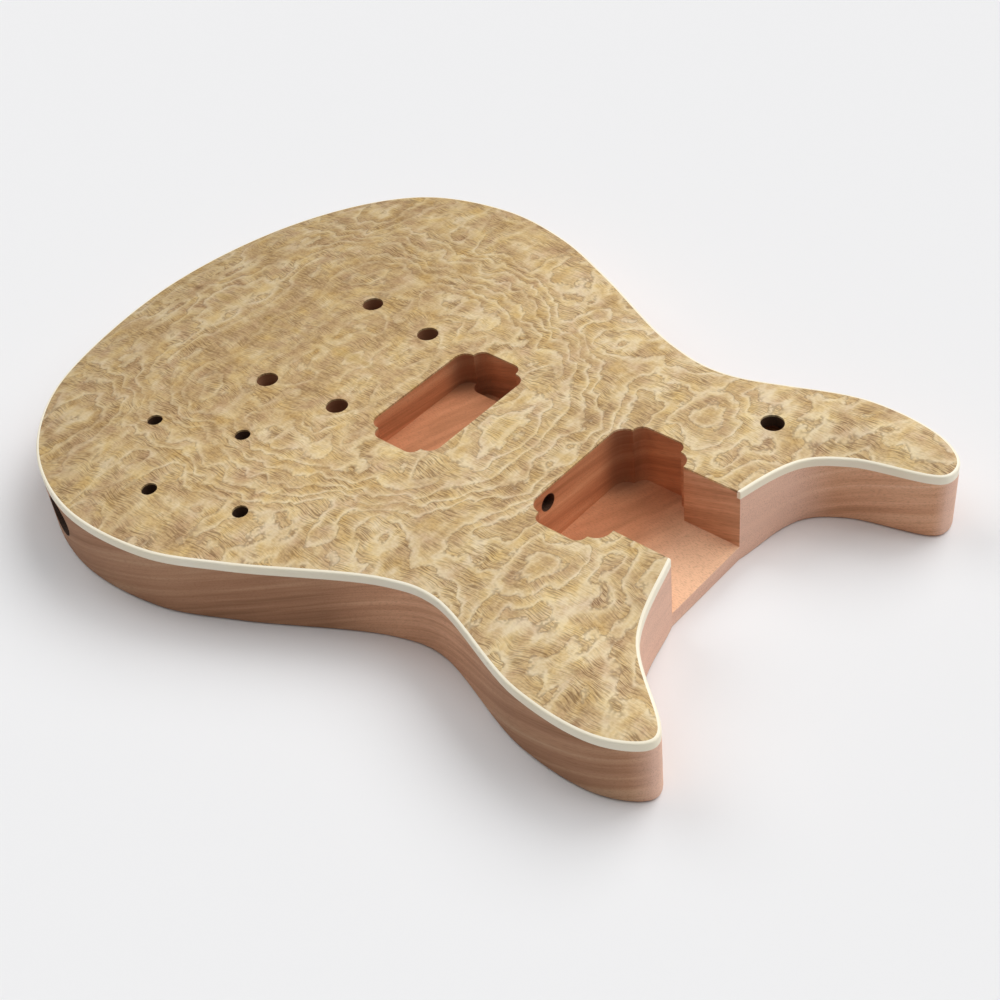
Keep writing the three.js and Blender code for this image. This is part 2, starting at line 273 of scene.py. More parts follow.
def rounded_outline(x, y, length, width, radius):
    """A rectangle with round corners, as the router leaves it."""
    points = []
    for quarter, (sx, sy) in enumerate(((1, 1), (-1, 1), (-1, -1), (1, -1))):
        for k in range(CORNER_STEPS + 1):
            a = (quarter + k / CORNER_STEPS) * math.pi / 2
            points.append(Vector((x + sx * (length / 2 - radius) + radius * math.cos(a),
                                  y + sy * (width / 2 - radius) + radius * math.sin(a))))
    return points


def circle(x, y, radius, sides=HOLE_SIDES):
    turns = (2 * math.pi * k / sides for k in range(sides))
    return [Vector((x + radius * math.cos(a), y + radius * math.sin(a))) for a in turns]


def wrapped(places, radius):
    """The convex outline that keeps a distance round a set of places."""
    dots = sorted((p.x, p.y) for place in places for p in circle(*place, radius))
    chains = []
    for order in (dots, dots[::-1]):
        chain = []
        for p in order:
            while len(chain) > 1:
                (ox, oy), (ax, ay) = chain[-2], chain[-1]
                if (ax - ox) * (p[1] - oy) - (ay - oy) * (p[0] - ox) > TINY:
                    break
                chain.pop()
            chain.append(p)
        chains += chain[:-1]
    return [Vector(p) for p in chains]


# Meshes
def make_object(name, vertices, faces):
    """A mesh object in metres from vertices in millimetres, with its faces turned outwards."""
    mesh = bpy.data.meshes.new(name)
    mesh.from_pydata([(x * MM, y * MM, z * MM) for x, y, z in vertices], [], faces)
    work = bmesh.new()
    work.from_mesh(mesh)
    bmesh.ops.remove_doubles(work, verts=work.verts, dist=WELD * MM)
    bmesh.ops.recalc_face_normals(work, faces=work.faces)
    work.to_mesh(mesh)
    work.free()
    piece = bpy.data.objects.new(name, mesh)
    bpy.context.scene.collection.objects.link(piece)
    return piece


def prism(name, points, low, high):
    """An upright block with the plan of a closed line, between two heights."""
    n = len(points)
    vertices = [(p.x, p.y, z) for z in (low, high) for p in points]
    faces = [(i, (i + 1) % n, n + (i + 1) % n, n + i) for i in range(n)]
    return make_object(name, vertices, faces + [tuple(range(n))[::-1], tuple(range(n, 2 * n))])


def bore(name, start, end, radius, sides=HOLE_SIDES):
    """A round rod from one place to another."""
    a, b = Vector(start), Vector(end)
    turn = (b - a).to_track_quat("Z", "Y").to_matrix()
    ring = circle(0, 0, radius, sides)
    vertices = [tuple(end_at + turn @ Vector((p.x, p.y, 0))) for end_at in (a, b) for p in ring]
    faces = [(i, (i + 1) % sides, sides + (i + 1) % sides, sides + i) for i in range(sides)]
    caps = [tuple(range(sides))[::-1], tuple(range(sides, 2 * sides))]
    return make_object(name, vertices, faces + caps)


def filled(ring, pitch):
    """Triangles over a closed ring. Their inner points are on a grid, to follow the arch, and keep
    a share of the pitch clear of the outline."""
    n = len(ring)
    points = list(ring)
    xs = [p.x for p in ring]
    ys = [p.y for p in ring]
    y = min(ys) + pitch / 2
    while y < max(ys):
        x = math.ceil(min(xs) / pitch) * pitch
        while x < max(xs):
            if rim_depth(x, y) > pitch * GRID_CLEAR_SHARE:
                points.append(Vector((x, y)))
            x += pitch
        y += pitch
    loop = [(i, (i + 1) % n) for i in range(n)]
    found = delaunay_2d_cdt(points, loop, [], 1, TINY)
    return found[0], [tuple(f) for f in found[2]]


def arched_slab(name, ring, upper, lower, pitch):
    """The solid over a ring between two depths below the arched top."""
    points, triangles = filled(ring, pitch)
    heights = [top_height(p.x, p.y) for p in points]
    n = len(points)
    vertices = [(p.x, p.y, h - d) for d in (upper, lower) for p, h in zip(points, heights)]
    edges = [(a, b) for f in triangles for a, b in zip(f, f[1:] + f[:1])]
    known = set(edges)
    faces = triangles + [tuple(i + n for i in f[::-1]) for f in triangles]
    faces += [(b, a, a + n, b + n) for a, b in edges if (b, a) not in known]
    return make_object(name, vertices, faces)


def cut(piece, cutters):
    """A piece with its cutters taken away, in one step."""
    tools = bpy.data.collections.new(piece.name + "_tools")
    for tool in cutters:
        bpy.context.scene.collection.objects.unlink(tool)
        tools.objects.link(tool)
    bpy.context.scene.collection.children.link(tools)
    modifier = piece.modifiers.new("routing", "BOOLEAN")
    modifier.operation = "DIFFERENCE"
    modifier.operand_type = "COLLECTION"
    modifier.collection = tools
    modifier.solver = "EXACT"
    graph = bpy.context.evaluated_depsgraph_get()
    mesh = bpy.data.meshes.new_from_object(piece.evaluated_get(graph))
    piece.modifiers.clear()
    piece.data = mesh
    for tool in list(tools.objects):
        bpy.data.objects.remove(tool)
    bpy.data.collections.remove(tools)
    return piece


def smooth(piece, degrees):
    """Shade a piece smooth, except at edges that turn by more than some degrees."""
    piece.data.shade_smooth()
    piece.data.set_sharp_from_angle(angle=math.radians(degrees))


# What the router and the drill take away
def pocket_cutter():
    half, front = POCKET_WIDTH / 2, TAIL_Y + BODY_LENGTH + OVERRUN
    corners = [(-half, POCKET_BACK_Y), (half, POCKET_BACK_Y), (half, front), (-half, front)]
    return prism("pocket", [Vector(c) for c in corners], THICKNESS - POCKET_DEPTH, ABOVE)


def pickup_cutters(cavity, depth, ears):
    x, y, width, radius = cavity
    found = [prism("pickup", rounded_outline(x, y, PICKUP_LENGTH, width, radius),
                   THICKNESS - depth, ABOVE)]
    for side in (-1, 1):
        slot = rounded_outline(x + side * EAR_CENTRE, y, *EAR_SLOT)
        found.append(prism("ear", slot, THICKNESS - ears, ABOVE))
    return found


def post_place(side):
    return BRIDGE_X + side * POST_X, side * POST_SLANT


def stud_place(side):
    return TAIL_X + side * STUD_X, STUD_Y + side * STUD_SLANT


def post_cutters():
    found = []
    for side in (-1, 1):
        found.append(prism("post", circle(*post_place(side), POST_R),
                           THICKNESS - POST_DEPTH, ABOVE))
        found.append(prism("stud", circle(*stud_place(side), STUD_R),
                           THICKNESS - STUD_DEPTH, ABOVE))
    return found


def control_hole_cutters():
    low = CEILING_Z - OVERRUN
    found = [prism("pot", circle(x, y, POT_R), low, ABOVE) for x, y in POTS]
    return found + [prism("switch", circle(*SWITCH, SWITCH_R), low, ABOVE)]


def top_cutters():
    found = [pocket_cutter()] + pickup_cutters(BRIDGE_PICKUP, BRIDGE_PICKUP_DEPTH, EAR_DEPTH)
    found += pickup_cutters(NECK_PICKUP, POCKET_DEPTH, POCKET_DEPTH)
    return found + post_cutters() + control_hole_cutters()


def back_cavity_cutters():
    """The control and switch cavities, each with a ledge for its cover."""
    return [
        prism("controls", wrapped(POTS, CONTROL_ROUND), BELOW, CEILING_Z),
        prism("ledge", wrapped(POTS, CONTROL_ROUND + LEDGE_WIDTH), BELOW, LEDGE_DEPTH),
        prism("switch_room", circle(*SWITCH, SWITCH_ROUND), BELOW, CEILING_Z),
        prism("ledge", circle(*SWITCH, SWITCH_ROUND + LEDGE_WIDTH), BELOW, LEDGE_DEPTH)]


def cover_screw_cutters():
    """Screw holes in the middle of the ledges: one beside each pot and some round the switch."""
    middle_x, middle_y = (sum(pot[k] for pot in POTS) / len(POTS) for k in (0, 1))
    places = []
    for x, y in POTS:
        out = Vector((x - middle_x, y - middle_y)).normalized() * (CONTROL_ROUND + LEDGE_WIDTH / 2)
        places.append((x + out.x, y + out.y))
    reach = SWITCH_ROUND + LEDGE_WIDTH / 2
    for k in range(SWITCH_SCREWS):
        a = k * 2 * math.pi / SWITCH_SCREWS + math.pi / 2
        places.append((SWITCH[0] + reach * math.cos(a), SWITCH[1] + reach * math.sin(a)))
    return [prism("screw", circle(x, y, SCREW_R, SMALL_SIDES), BELOW, SCREW_DEPTH)
            for x, y in places]


def bore_cutters():
    """The bores for the wires: between the pickups, then to the pots, the switch, one of the studs
    and the jack."""
    bridge_x, bridge_y, bridge_width, corner = BRIDGE_PICKUP
    neck_x, neck_y, neck_width, _ = NECK_PICKUP
    _, bridge_pot, _, neck_pot = POTS
    low = bridge_y + bridge_width / 2 - corner
    high = neck_y - neck_width / 2 + corner
    ear = (bridge_x + EAR_CENTRE, bridge_y, BORE_Z)
    closed = (neck_x - PICKUP_LENGTH / 2 - EAR_REACH - SWITCH_BORE_SHORT,
              neck_y + SWITCH_BORE_ASIDE, SWITCH_BORE_Z)
    out = (Vector(JACK_FROM) - Vector(JACK_TO)).normalized() * OVERRUN
    outside = (JACK_FROM[0] + out.x, JACK_FROM[1] + out.y, JACK_Z)
    return [
        bore("wires", (WIRE_X, low, WIRE_Z), (WIRE_X, high, WIRE_Z), WIRE_R),
        bore("control_bore", ear, (*neck_pot, BORE_Z), CONTROL_BORE_R),
        bore("switch_bore", closed, (*SWITCH, SWITCH_BORE_Z), SWITCH_BORE_R),
        bore("ground_bore", (*stud_place(1), BORE_Z), (*bridge_pot, BORE_Z), GROUND_BORE_R,
             SMALL_SIDES),
        bore("jack", outside, (*JACK_TO, JACK_Z), JACK_R)]


# The pieces
def edge_radius(p):
    """How round the back edge is: less at the heel of the neck than elsewhere."""
    blend = smoothstep(abs(p.x) - POCKET_WIDTH / 2, 0.0, POCKET_WIDTH / 2)
    return HEEL_EDGE + (BACK_EDGE - HEEL_EDGE) * (blend if p.y > POCKET_BACK_Y else 1.0)


def core_blank():
    """The blank with rounded back edges, straight sides, the binding's rebate and the arch."""
    n = len(RIM)
    rings = []
    for k in range(EDGE_STEPS + 1):
        a = k * math.pi / 2 / EDGE_STEPS
        ring = inset(RIM, lambda p: edge_radius(p) * (1 - math.sin(a)))
        rings.append([(q.x, q.y, edge_radius(p) * (1 - math.cos(a))) for p, q in zip(RIM, ring)])
    low = [top_height(p.x, p.y) - BINDING_HEIGHT - GLUE_GAP for p in RIM]
    rebate = inset(RIM, BINDING_WIDTH + GLUE_GAP)
    rings.append([(p.x, p.y, z) for p, z in zip(RIM, low)])
    rings.append([(p.x, p.y, z) for p, z in zip(rebate, low)])
    points, triangles = filled(rebate, CORE_PITCH)
    top = [(p.x, p.y, top_height(p.x, p.y) - VENEER - GLUE_GAP) for p in points]
    rings.append(top[:n])
    vertices = [v for ring in rings for v in ring]
    faces = [tuple(range(n))[::-1]]
    for r in range(len(rings) - 1):
        for i in range(n):
            j = (i + 1) % n
            faces.append((r * n + i, r * n + j, (r + 1) * n + j, (r + 1) * n + i))
    faces += [tuple(i + len(vertices) for i in f) for f in triangles]
    return make_object("core", vertices + top, faces)


def half_ring(ring, side):
    """The part of a ring on one side of the centre line, closed along it."""
    kept = []
    n = len(ring)
    for i in range(n):
        a, b = ring[i], ring[(i + 1) % n]
        if a.x * side > 0:
            kept.append(a)
        if (a.x * side > 0) != (b.x * side > 0):
            t = a.x / (a.x - b.x)
            kept.append(Vector((0.0, a.y + (b.y - a.y) * t)))
    points = []
    for i, a in enumerate(kept):
        b = kept[(i + 1) % len(kept)]
        cuts = max(1, round((b - a).length / LEAF_PITCH))
        points += [a.lerp(b, k / cuts) for k in range(cuts)]
    return points


def binding_section():
    """The binding's profile, as places inwards from the rim and down from the top. Its outer corner
    is scraped round. Under the veneer it takes up the line of glue, so that it meets the core."""
    section = [(0.0, BINDING_HEIGHT + GLUE_GAP)]
    for k in range(ROUND_STEPS + 1):
        a = k * math.pi / 2 / ROUND_STEPS
        section.append((BINDING_ROUND * (1 - math.cos(a)), BINDING_ROUND * (1 - math.sin(a))))
    return section + [(BINDING_WIDTH, 0.0), (BINDING_WIDTH, VENEER + GLUE_GAP),
                      (BINDING_WIDTH + GLUE_GAP, VENEER + GLUE_GAP),
                      (BINDING_WIDTH + GLUE_GAP, BINDING_HEIGHT + GLUE_GAP)]


def binding_strip(name, side):
    """One half of the binding, from the tail to the wall of the neck pocket."""
    section = binding_section()
    lines = [inset(RIM, inwards) for inwards, _ in section]
    rows = []
    for i in range(len(RIM)):
        if lines[0][i].x * side > -ON_CENTRE:
            rows.append([[line[i].x, line[i].y, depth]
                         for line, (_, depth) in zip(lines, section)])
    # The tail end meets the other half on the centre line, and the other end meets the pocket
    tail, neck, inner = (0, -1, -2) if side > 0 else (-1, 0, 1)
    for point in rows[tail]:
        point[0] = 0.0
    wall = side * POCKET_WIDTH / 2
    for point, beyond in zip(rows[neck], rows[inner]):
        t = (wall - beyond[0]) / (point[0] - beyond[0])
        point[1] = beyond[1] + (point[1] - beyond[1]) * t
        point[0] = wall
    m = len(section)
    vertices = [(x, y, top_height(x, y) - depth) for row in rows for x, y, depth in row]
    faces = []
    for r in range(len(rows) - 1):
        for k in range(m):
            a, b = r * m + k, r * m + (k + 1) % m
            faces.append((a, b, b + m, a + m))
    faces += [tuple(range(m)), tuple(range((len(rows) - 1) * m, len(rows) * m))[::-1]]
    return make_object(name, vertices, faces)


# Materials
def linear(colour):
    """A linear colour with alpha from an sRGB hex value."""
    channels = [int(colour[i:i + 2], 16) / 255 for i in (1, 3, 5)]
    return tuple(c / 12.92 if c <= 0.04045 else ((c + 0.055) / 1.055) ** 2.4
                 for c in channels) + (1.0,)


def add(tree, kind, inputs=None, stops=(), **settings):
    """A node with its settings, input values and links. A ramp's stops are its lowest, its highest
    and then those between. Inputs go by name or number: a mix has its share at 0, and two numbers
    at 2 and 3 or two colours at 6 and 7, a mixed colour is output 2, and a map range has its value
    at 0, the range at 1 and 2 and what that becomes at 3 and 4."""
    node = tree.nodes.new(kind)
    for key, value in settings.items():
        setattr(node, key, value)
    for key, value in (inputs or {}).items():
        if isinstance(value, bpy.types.NodeSocket):
            tree.links.new(value, node.inputs[key])
        else:
            node.inputs[key].default_value = value
    for k, (place, tone) in enumerate(stops):
        element = node.color_ramp.elements[k] if k < 2 else node.color_ramp.elements.new(place)
        element.position = place
        element.color = linear(tone) if isinstance(tone, str) else (tone, tone, tone, 1.0)
    return node


def new_material(name):
    material = bpy.data.materials.new(name)
    material.use_nodes = True
    tree = material.node_tree
    tree.nodes.clear()
    out = add(tree, "ShaderNodeOutputMaterial")
    return material, tree, out


def grain_patterns(tree, place, patterns):
    """Noise stretched along the grain. Each pattern gives its size in millimetres along X, Y and Z,
    its detail, its roughness and where in the noise it starts."""
    found = {}
    for name, (sizes, detail, roughness, start) in patterns.items():
        at = add(tree, "ShaderNodeVectorMath", {
            0: place, 1: [1 / size for size in sizes], 2: (start, start * 1.7, start)},
            operation="MULTIPLY_ADD")
        noise = add(tree, "ShaderNodeTexNoise", {
            "Vector": at.outputs[0], "Scale": 1.0, "Detail": detail, "Roughness": roughness})
        found[name] = noise.outputs[0]
    return found


def place_on_leaf(tree):
    """The place on a leaf in millimetres. The treble leaf is the mirror image of the bass one, as
    the two were cut one after the other, and they differ by a few millimetres."""
    place = add(tree, "ShaderNodeTexCoord").outputs["Object"]
    in_mm = add(tree, "ShaderNodeVectorMath", {0: place, 3: 1 / MM}, operation="SCALE").outputs[0]
    split = add(tree, "ShaderNodeSeparateXYZ", {0: in_mm})
    mirrored = add(tree, "ShaderNodeMath", {0: split.outputs["X"]}, operation="ABSOLUTE")
    folded = add(tree, "ShaderNodeCombineXYZ", {0: mirrored.outputs[0], 1: split.outputs["Y"]})
    drift = add(tree, "ShaderNodeTexNoise", {"Vector": in_mm, "Scale": 1 / 45, "Detail": 1.0})
    return add(tree, "ShaderNodeVectorMath", {
        0: drift.outputs["Color"], 1: (9.0, 9.0, 0.0), 2: folded.outputs[0]},
        operation="MULTIPLY_ADD").outputs[0]


def ash_patterns(tree, leaf):
    """What the grain of the veneer is made of, each by its real size."""
    wood = grain_patterns(tree, leaf, {
        "hills": ((52, 42, 1), 1.5, 0.5, 3),        # humps in the growth rings
        "ripple": ((15, 10, 1), 1.5, 0.55, 7),      # their crumpled edges
        "figure": ((46, 40, 1), 2.0, 0.5, 12),      # where the figure is strong
        "dash": ((14, 5, 1), 2.0, 0.5, 17),         # pale dashes across the grain
        "cloud": ((8, 26, 1), 4.0, 0.6, 23),        # tone of the early wood
        "zone": ((58, 24, 1), 2.0, 0.5, 91),        # broad darker zones
        "grit": ((1.1, 1.8, 1), 1.0, 0.5, 61),      # sanded fibres, drawn coarse enough to show
        "porous": ((14, 30, 1), 3.0, 0.55, 41),     # where the pores are dense
        "row": ((1.4, 1.9, 1), 0.0, 0.5, 71),       # pores along each ring
        "hue": ((16, 13, 1), 3.0, 0.6, 53),         # greyish and yellowish patches
        "stain": ((5, 26, 1), 3.0, 0.6, 83)})       # yellow stain along the joint
    # The fibres sway from side to side, and the open pores, drawn a little coarse, go with them
    sway = add(tree, "ShaderNodeTexNoise", {"Vector": leaf, "Scale": 1 / 16, "Detail": 1.0})
    swayed = add(tree, "ShaderNodeVectorMath", {
        0: sway.outputs["Color"], 1: (6.5, 0.0, 0.0), 2: leaf}, operation="MULTIPLY_ADD")
    wood.update(grain_patterns(tree, swayed.outputs[0], {"pore": ((0.68, 8.5, 1), 1.2, 0.6, 31)}))
    return wood


def growth_rings(tree, wood, reach):
    """The place within a growth ring, from 0 to 1. The humps hold up to 8 rings and their ripples
    1.8, and 5.2 more crowd into ovals between 74 and 140 mm from the middle of the ovals."""
    belt = add(tree, "ShaderNodeMapRange", {
        0: reach, 1: 74.0, 2: 140.0, 3: 0.0, 4: 5.2}, interpolation_type="SMOOTHSTEP")
    rings = add(tree, "ShaderNodeMath", {0: wood["hills"], 1: 8.0, 2: belt.outputs[0]},
                operation="MULTIPLY_ADD")
    rings = add(tree, "ShaderNodeMath", {0: wood["ripple"], 1: 1.8, 2: rings.outputs[0]},
                operation="MULTIPLY_ADD")
    return add(tree, "ShaderNodeMath", {0: rings.outputs[0]}, operation="FRACT").outputs[0]


def figure_strength(tree, wood, along, reach):
    """The figure is fainter round the bridge, and strong in the ovals and towards the neck."""
    neckward = add(tree, "ShaderNodeMapRange", {0: along, 1: 0.0, 2: 120.0, 3: -0.13, 4: 0.06})
    in_belt = add(tree, "ShaderNodeMapRange", {0: reach, 1: 60.0, 2: 95.0, 3: 0.0, 4: 0.15})
    share = add(tree, "ShaderNodeMath", {0: neckward.outputs[0], 1: in_belt.outputs[0]})
    share = add(tree, "ShaderNodeMath", {0: share.outputs[0], 1: wood["figure"]})
    return add(tree, "ShaderNodeValToRGB", {0: share.outputs[0]},
               stops=[(0.34, 0.32), (0.60, 1.0)]).outputs[0]


def ash_body(tree, wood, ring, figure):
    """The wood between the pores, paler towards the late wood of each ring. The patterns' middle is
    taken off their sum, so that it stays on the ramp."""
    profile = add(tree, "ShaderNodeValToRGB", {0: ring}, stops=[
        (0.0, 0.08), (1.0, 0.08), (0.30, 0.10), (0.58, 0.20), (0.76, 0.30), (0.92, 0.26)])
    tone = add(tree, "ShaderNodeMath", {0: profile.outputs[0], 1: figure}, operation="MULTIPLY")
    dash = add(tree, "ShaderNodeValToRGB", {0: wood["dash"]}, stops=[(0.50, 0.0), (0.66, 0.12)])
    tone = add(tree, "ShaderNodeMath", {0: tone.outputs[0], 1: dash.outputs[0]})
    for name, strength in (("cloud", 0.9), ("grit", 0.5), ("zone", 0.6)):
        tone = add(tree, "ShaderNodeMath", {0: wood[name], 1: strength, 2: tone.outputs[0]},
                   operation="MULTIPLY_ADD")
    tone = add(tree, "ShaderNodeMath", {0: tone.outputs[0], 1: 0.62}, operation="SUBTRACT")
    return add(tree, "ShaderNodeValToRGB", {0: tone.outputs[0]}, stops=[
        (0.1, "#A28258"), (0.9, "#EFDDB9"), (0.4, "#CDAF81"), (0.6, "#DDC498")]).outputs[0]


def ash_pores(tree, wood, ring, figure):
    """Short dark strokes in the early wood, and a row of pores along each ring."""
    pore = add(tree, "ShaderNodeValToRGB", {0: wood["pore"]}, stops=[(0.47, 0.0), (0.60, 1.0)])
    early = add(tree, "ShaderNodeValToRGB", {0: ring}, stops=[
        (0.0, 1.0), (1.0, 1.0), (0.35, 0.9), (0.6, 0.55), (0.78, 0.16), (0.92, 0.12)])
    early = add(tree, "ShaderNodeMix", {0: figure, 2: 0.75, 3: early.outputs[0]})
    porous = add(tree, "ShaderNodeValToRGB", {0: wood["porous"]},
                 stops=[(0.34, 0.20), (0.60, 0.74)])
    strokes = add(tree, "ShaderNodeMath", {0: pore.outputs[0], 1: early.outputs[0]},
                  operation="MULTIPLY")
    strokes = add(tree, "ShaderNodeMath", {0: strokes.outputs[0], 1: porous.outputs[0]},
                  operation="MULTIPLY")
    on_ring = add(tree, "ShaderNodeValToRGB", {0: ring}, stops=[
        (0.82, 0.0), (1.0, 0.30), (0.92, 0.52), (0.98, 0.56)])
    row = add(tree, "ShaderNodeValToRGB", {0: wood["row"]}, stops=[(0.36, 0.0), (0.55, 1.0)])
    row = add(tree, "ShaderNodeMath", {0: row.outputs[0], 1: on_ring.outputs[0]},
              operation="MULTIPLY")
    row = add(tree, "ShaderNodeMath", {0: row.outputs[0], 1: figure}, operation="MULTIPLY")
    return add(tree, "ShaderNodeMath", {0: strokes.outputs[0], 1: row.outputs[0]},
               operation="MAXIMUM").outputs[0]


def ash_stain_and_hue(tree, colour, wood, across):
    """Yellow stain along the joint of the leaves, and greyish and yellowish patches."""
    by_joint = add(tree, "ShaderNodeMath", {0: wood["stain"], 1: 26.0, 2: across},
                   operation="MULTIPLY_ADD")
    by_joint = add(tree, "ShaderNodeMapRange", {
        0: by_joint.outputs[0], 1: 13.6, 2: 20.8, 3: 0.5, 4: 0.0})
    colour = add(tree, "ShaderNodeMix", {
        0: by_joint.outputs[0], 6: colour, 7: linear("#CDB070")}, data_type="RGBA")
    hue = add(tree, "ShaderNodeValToRGB", {0: wood["hue"]}, stops=[
        (0.30, "#F2E7E6"), (0.70, "#FFF5D4"), (0.5, "#FDF9F0")])
    return add(tree, "ShaderNodeMix", {
        0: 1.0, 6: colour.outputs[2], 7: hue.outputs[0]},
        data_type="RGBA", blend_type="MULTIPLY").outputs[2]


def pale_late_wood(tree, colour, wood, ring, figure):
    """A pale line at the end of each ring, broken up by the dashes."""
    late = add(tree, "ShaderNodeValToRGB", {0: ring}, stops=[
        (0.56, 0.0), (1.0, 0.0), (0.80, 0.30), (0.92, 0.22)])
    late = add(tree, "ShaderNodeMath", {0: late.outputs[0], 1: figure}, operation="MULTIPLY")
    varied = add(tree, "ShaderNodeMapRange", {0: wood["dash"], 1: 0.38, 2: 0.58, 3: 0.35, 4: 1.2})
    late = add(tree, "ShaderNodeMath", {0: late.outputs[0], 1: varied.outputs[0]},
               operation="MULTIPLY")
    return add(tree, "ShaderNodeMix", {
        0: late.outputs[0], 6: colour, 7: linear("#E2D1B2")}, data_type="RGBA").outputs[2]


def painted_shade_towards_tail(tree, colour, along):
    """Painted shade: the leaves are a little darker and greyer at the tail than from the waist on.
    """
    share = add(tree, "ShaderNodeMapRange", {0: along, 1: -160.0, 2: 90.0})
    tailward = add(tree, "ShaderNodeValToRGB", {0: share.outputs[0]}, stops=[
        (0.0, "#E2E0DD"), (1.0, "#FFFFFF"), (0.45, "#EFEDE8"), (0.75, "#FEFDFA")])
    return add(tree, "ShaderNodeMix", {0: 1.0, 6: colour, 7: tailward.outputs[0]},
               data_type="RGBA", blend_type="MULTIPLY").outputs[2]


def figured_ash_veneer_sanded():
    """Figured ash veneer, sanded and bare. The cut runs through wavy growth rings, so they show as
    contour lines: ovals round the bridge and closed islands towards the neck. Each ring has a row
    of open pores, then short dark strokes that fade into pale late wood."""
    material, tree, out = new_material("figured_ash_veneer_sanded")
    leaf = place_on_leaf(tree)
    on_leaf = add(tree, "ShaderNodeSeparateXYZ", {0: leaf})
    # The ovals are longer than wide, and their middle is 12 mm behind the bridge
    oval = add(tree, "ShaderNodeVectorMath", {
        0: leaf, 1: (1.0, 0.84, 0.0), 2: (0.0, 10.0, 0.0)}, operation="MULTIPLY_ADD")
    reach = add(tree, "ShaderNodeVectorMath", {0: oval.outputs[0]},
                operation="LENGTH").outputs["Value"]
    wood = ash_patterns(tree, leaf)
    ring = growth_rings(tree, wood, reach)
    figure = figure_strength(tree, wood, on_leaf.outputs["Y"], reach)
    pores = ash_pores(tree, wood, ring, figure)
    colour = add(tree, "ShaderNodeMix", {
        0: pores, 6: ash_body(tree, wood, ring, figure), 7: linear("#745430")},
        data_type="RGBA").outputs[2]
    colour = ash_stain_and_hue(tree, colour, wood, on_leaf.outputs["X"])
    colour = pale_late_wood(tree, colour, wood, ring, figure)
    # Painted shade towards the tail
    colour = painted_shade_towards_tail(tree, colour, on_leaf.outputs["Y"])
    bump = add(tree, "ShaderNodeBump", {
        "Height": pores, "Strength": 0.3, "Distance": -0.12 * MM})
    shader = add(tree, "ShaderNodeBsdfPrincipled", {
        "Base Color": colour, "Roughness": 0.62, "Specular IOR Level": 0.35,
        "Normal": bump.outputs[0]})
    tree.links.new(shader.outputs[0], out.inputs[0])
    return material


def mahogany_patterns(tree, place):
    """Bands and streaks that rise a little towards the neck."""
    tilted = add(tree, "ShaderNodeMapping", {
        "Vector": place, "Rotation": [math.radians(a) for a in (-17, 5, 3)]}).outputs[0]
    return grain_patterns(tree, tilted, {
        "band": ((150, 260, 8), 3.0, 0.55, 5),      # broad layers of growth
        "streak": ((45, 140, 2.0), 3.0, 0.6, 9),    # narrow ones
        "cloud": ((30, 45, 30), 2.0, 0.5, 14),      # soft patches
        "pore": ((0.5, 6, 0.5), 2.0, 0.5, 21)})     # open pores, drawn a little coarse


def mahogany_body(tree, wood, across):
    """Pinkish brown, and darker and browner towards the treble side, from 110 mm out."""
    tone = add(tree, "ShaderNodeMath", {0: wood["streak"], 1: 0.5, 2: wood["band"]},
               operation="MULTIPLY_ADD")
    tone = add(tree, "ShaderNodeMath", {0: wood["cloud"], 1: 0.2, 2: tone.outputs[0]},
               operation="MULTIPLY_ADD")
    tone = add(tree, "ShaderNodeMath", {0: tone.outputs[0], 1: 0.35}, operation="SUBTRACT")
    body = add(tree, "ShaderNodeValToRGB", {0: tone.outputs[0]}, stops=[
        (0.28, "#BE8A66"), (0.74, "#F2C4A0"), (0.44, "#D69E7A"), (0.58, "#E5B08B")])
    edge = add(tree, "ShaderNodeMapRange", {0: across, 1: 110.0, 2: 126.0})
    return add(tree, "ShaderNodeMix", {
        0: edge.outputs[0], 6: body.outputs[0], 7: linear("#CFCCC6")},
        data_type="RGBA", blend_type="MULTIPLY").outputs[2]


def painted_light_from_neck(tree, colour, along, normal):
    """Painted light, paler on the neck side of the horns and on the floor of the neck pocket."""
    facing = add(tree, "ShaderNodeSeparateXYZ", {0: normal})
    # Each tone shows on faces turned one way, and sets in between two places along the body
    for way, partly, fully, strength, start, end, tone in (
            ("Y", 0.5, 0.95, 0.75, 195.0, 205.0, "#F6CDB8"),
            ("Z", 0.8, 0.95, 0.8, 165.0, 195.0, "#FFD0A9")):
        pale = add(tree, "ShaderNodeMapRange", {
            0: facing.outputs[way], 1: partly, 2: fully, 3: 0.0, 4: strength})
        neckward = add(tree, "ShaderNodeMapRange", {0: along, 1: start, 2: end})
        pale = add(tree, "ShaderNodeMath", {0: pale.outputs[0], 1: neckward.outputs[0]},
                   operation="MULTIPLY")
        colour = add(tree, "ShaderNodeMix", {0: pale.outputs[0], 6: colour, 7: linear(tone)},
                     data_type="RGBA").outputs[2]
    return colour


